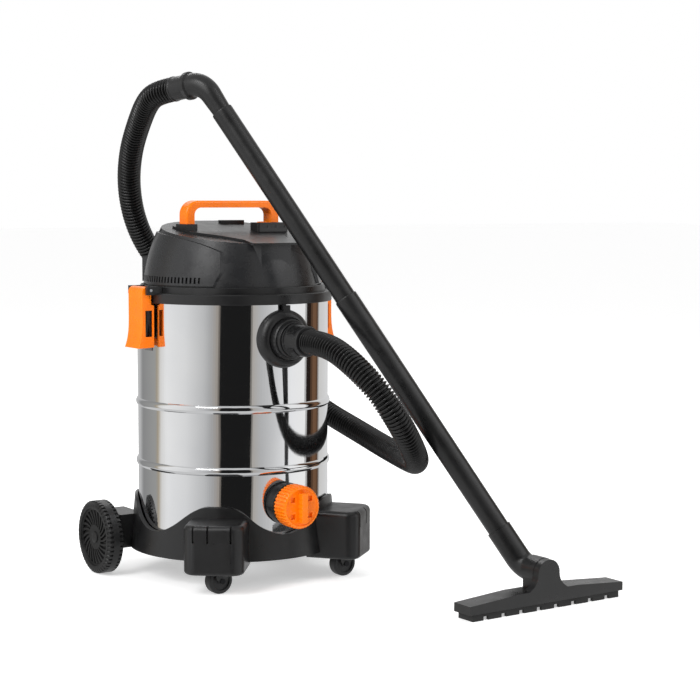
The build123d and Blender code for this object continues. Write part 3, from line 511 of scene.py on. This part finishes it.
# ---------------------------------------------------------------- drain cap
CAP_RIBS = 36
CAP_STEPS = 8
POCKET = (0.0085, 0.0080, 0.0085)
GRIP_LENGTH = 0.049
GRIP_HALF_WIDTH = 0.0062
GRIP_FOOT = 0.2170
GRIP_FRONT = 0.2306
GRIP_NOTCHES = 6
GRIP_NOTCH = 0.0009
GRIP_STEPS = 48


def cut_with_box(piece, place, size):
    """Take a box out of a piece."""
    bpy.ops.mesh.primitive_cube_add(size=1, location=place)
    cutter = bpy.context.object
    cutter.scale = size
    cut = piece.modifiers.new("cut", "BOOLEAN")
    cut.operation = "DIFFERENCE"
    cut.object = cutter
    apply_modifiers(piece)
    bpy.data.objects.remove(cutter)


def make_drain_cap(middle):
    """Screw cap with a ribbed skirt and four square pockets in its face."""
    rows = [(0.2080, 0.0, False), (0.2080, 0.0320, False), (0.1900, 0.0320, False), (0.1900, 0.0344, True)]
    rows += [(0.1912, 0.0360, True), (0.2150, 0.0360, True), (0.2185, 0.0351, True)]
    rows += [(0.2204, 0.0334, False), (0.2212, 0.0318, False), (0.2210, 0.0304, False)]
    rows += [(0.2198, 0.0296, False), (0.2194, 0.0286, False), (0.2194, 0.0, False)]
    shape = bmesh.new()
    count = CAP_RIBS * CAP_STEPS
    rings = []
    for forward, radius, ribbed in rows:
        if radius == 0:
            rings.append([shape.verts.new(middle + Vector((0, -forward, 0)))])
            continue
        ring = []
        for step in range(count):
            out = radius - 0.0015 if ribbed and step % CAP_STEPS < 3 else radius
            angle = 2 * pi * step / count
            spot = Vector((out * cos(angle), -forward, out * sin(angle)))
            ring.append(shape.verts.new(middle + spot))
        rings.append(ring)
    skin_rings(shape, rings)
    mesh = finished_mesh("drain_cap_ribbed", shape)
    cap = new_piece("drain_cap_ribbed", mesh, ORANGE, "drain_closure", ["drain_cap"])
    for side in (-1, 1):
        for up in (-1, 1):
            cut_with_box(cap, middle + Vector((side * 0.0165, -0.2190, up * 0.0140)), POCKET)
    shade_smooth(cap.data)
    cap.data.set_sharp_from_angle(angle=radians(34))


def make_drain_grip(middle):
    """Grip bar across the cap's face, with scalloped long sides."""
    outline = []
    for side in (1, -1):
        for step in range(GRIP_STEPS + 1):
            part = step / GRIP_STEPS
            notch = GRIP_NOTCH * max(0.0, sin(2 * pi * GRIP_NOTCHES * part))
            outline.append((side * (GRIP_HALF_WIDTH - notch), side * GRIP_LENGTH * (part - 0.5)))
    shape = bmesh.new()
    base = [shape.verts.new(middle + Vector((across, -GRIP_FOOT, up))) for across, up in outline]
    face = shape.faces.new(base)
    grown = bmesh.ops.extrude_face_region(shape, geom=[face])
    for vertex in [item for item in grown["geom"] if isinstance(item, bmesh.types.BMVert)]:
        vertex.co.y = -GRIP_FRONT
    mesh = finished_mesh("drain_grip", shape)
    grip = new_piece("drain_grip", mesh, ORANGE, "drain_closure")
    round_edges(grip, 0.0009, 50)


cap_low, cap_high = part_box("drain_cap")
cap_middle = Vector(((cap_low[0] + cap_high[0]) / 2, 0, (cap_low[2] + cap_high[2]) / 2))
make_drain_cap(cap_middle)
make_drain_grip(cap_middle)

# ---------------------------------------------------------------- CAD nodes that show as they are
for name, node in frame["nodes"].items():
    if node.hide_render:
        continue
    finish = BLACK_PIN if name.startswith("caster_axle") else BY_SLOT[SLOT_OF[name]]
    node.data.materials.clear()
    node.data.materials.append(finish)
    weld = node.modifiers.new("weld", "WELD")
    weld.merge_threshold = 0.00002
    round_edges(node, 0.0006, 32)
    even = node.modifiers.new("even", "WEIGHTED_NORMAL")
    even.keep_sharp = True


# ---------------------------------------------------------------- stage and light
WALL_R = 2.3
WALL_FOOT = -0.7
WALL_TOP = 2.6
# Azimuth round the vacuum from the camera's direction, positive to its right, and what stands there.
WALL = [
    (-180, (0.62, 0.62, 0.62)),
    (-148, (0.50, 0.50, 0.50)),
    (-136, (0.27, 0.27, 0.27)),
    (-104, (0.34, 0.34, 0.33)),
    (-99, (0.40, 0.34, 0.25)),
    (-94, (0.72, 0.71, 0.69)),
    (-84, (0.86, 0.86, 0.86)),
    (-57, (0.76, 0.76, 0.76)),
    (-34, (0.56, 0.56, 0.56)),
    (-26, (0.43, 0.43, 0.43)),
    (-17, (0.36, 0.32, 0.28)),
    (-15, (0.012, 0.012, 0.012)),
    (20, (0.012, 0.012, 0.012)),
    (22, (0.46, 0.43, 0.39)),
    (31, (0.50, 0.50, 0.50)),
    (47, (0.64, 0.64, 0.64)),
    (71, (0.92, 0.92, 0.92)),
    (93, (0.95, 0.94, 0.92)),
    (96, (0.020, 0.014, 0.012)),
    (104, (0.022, 0.014, 0.010)),
    (108, (0.17, 0.09, 0.05)),
    (116, (0.17, 0.09, 0.05)),
    (120, (0.05, 0.03, 0.02)),
    (123, (0.66, 0.65, 0.63)),
    (150, (0.72, 0.72, 0.72)),
    (180, (0.62, 0.62, 0.62)),
]


def emitting(name, colour):
    """Material that only gives off light."""
    material = bpy.data.materials.new(name)
    material.use_nodes = True
    tree = material.node_tree
    tree.nodes.remove(tree.nodes["Principled BSDF"])
    light = add_node(material, "ShaderNodeEmission", Strength=1.0)
    light.inputs["Color"].default_value = (*colour, 1)
    join(material, light.outputs["Emission"], tree.nodes["Material Output"].inputs["Surface"])
    return material


def make_wall():
    """Ring of upright panels that only reflections see: soft boxes, a dark card and a brown strip."""
    shape = bmesh.new()
    panels = []
    for (start, first), (end, last) in zip(WALL, WALL[1:]):
        steps = max(1, round((end - start) / 3))
        for step in range(steps):
            low = start + (end - start) * step / steps
            high = start + (end - start) * (step + 1) / steps
            part = (step + 0.5) / steps
            panels.append((low, high, tuple(a + (b - a) * part for a, b in zip(first, last))))
    mesh = bpy.data.meshes.new("reflected_wall")
    for index, (low, high, colour) in enumerate(panels):
        corners = []
        edges = ((low, WALL_FOOT), (high, WALL_FOOT), (high, WALL_TOP), (low, WALL_TOP))
        for angle, height in edges:
            turn = CAMERA_AZIMUTH - radians(angle)
            corners.append(shape.verts.new((-WALL_R * sin(turn), -WALL_R * cos(turn), height)))
        shape.faces.new(corners).material_index = index
        mesh.materials.append(emitting(f"panel_{index}", colour))
    shape.to_mesh(mesh)
    shape.free()
    wall = bpy.data.objects.new("reflected_wall", mesh)
    bpy.context.scene.collection.objects.link(wall)
    wall.visible_camera = False
    wall.visible_diffuse = False
    wall.visible_shadow = False
    wall.visible_transmission = False


FLOOR_HALF = 30
FLOOR_CORNERS = ((-1, -1), (1, -1), (1, 1), (-1, 1))


def make_floor():
    """Plain white floor, bright enough to run into the white studio behind it."""
    material, bsdf = shader("stage_white")
    bsdf.inputs["Base Color"].default_value = (0.90, 0.90, 0.90, 1)
    bsdf.inputs["Roughness"].default_value = 0.8
    bsdf.inputs["Specular IOR Level"].default_value = 0.1
    bsdf.inputs["Emission Color"].default_value = (1, 1, 1, 1)
    bsdf.inputs["Emission Strength"].default_value = 0.42
    mesh = bpy.data.meshes.new("floor")
    corners = [(across * FLOOR_HALF, back * FLOOR_HALF, 0) for across, back in FLOOR_CORNERS]
    mesh.from_pydata(corners, [], [(0, 1, 2, 3)])
    floor = bpy.data.objects.new("floor", mesh)
    mesh.materials.append(material)
    bpy.context.scene.collection.objects.link(floor)
    floor.visible_glossy = False


def make_softbox(name, place, aim, width, height, power):
    """Rectangular soft light that points at a place."""
    data = bpy.data.lights.new(name, "AREA")
    data.shape = "RECTANGLE"
    data.size = width
    data.size_y = height
    data.energy = power
    lamp = bpy.data.objects.new(name, data)
    bpy.context.scene.collection.objects.link(lamp)
    lamp.location = place
    lamp.rotation_euler = (Vector(aim) - Vector(place)).to_track_quat("-Z", "Y").to_euler()


def make_world():
    """White studio behind, and a softer even light on the model."""
    world = bpy.data.worlds.new("studio")
    bpy.context.scene.world = world
    world.use_nodes = True
    tree = world.node_tree
    seen = tree.nodes["Background"]
    seen.inputs["Color"].default_value = (1, 1, 1, 1)
    seen.inputs["Strength"].default_value = 1.0
    lit = tree.nodes.new("ShaderNodeBackground")
    lit.inputs["Color"].default_value = (1, 1, 1, 1)
    lit.inputs["Strength"].default_value = 0.62
    path = tree.nodes.new("ShaderNodeLightPath")
    choice = tree.nodes.new("ShaderNodeMixShader")
    tree.links.new(path.outputs["Is Camera Ray"], choice.inputs["Fac"])
    tree.links.new(lit.outputs["Background"], choice.inputs[1])
    tree.links.new(seen.outputs["Background"], choice.inputs[2])
    tree.links.new(choice.outputs["Shader"], tree.nodes["World Output"].inputs["Surface"])


make_wall()
make_floor()
make_world()
make_softbox("left_softbox", (-2.6, -1.0, 2.3), (0, 0, 0.4), 1.4, 1.8, 75)
make_softbox("right_softbox", (1.8, -2.6, 2.4), (0, 0, 0.4), 1.0, 1.6, 28)
make_softbox("back_softbox", (0.8, 2.6, 2.4), (0, 0, 0.5), 1.8, 1.2, 45)
bpy.context.scene.view_settings.view_transform = "Standard"
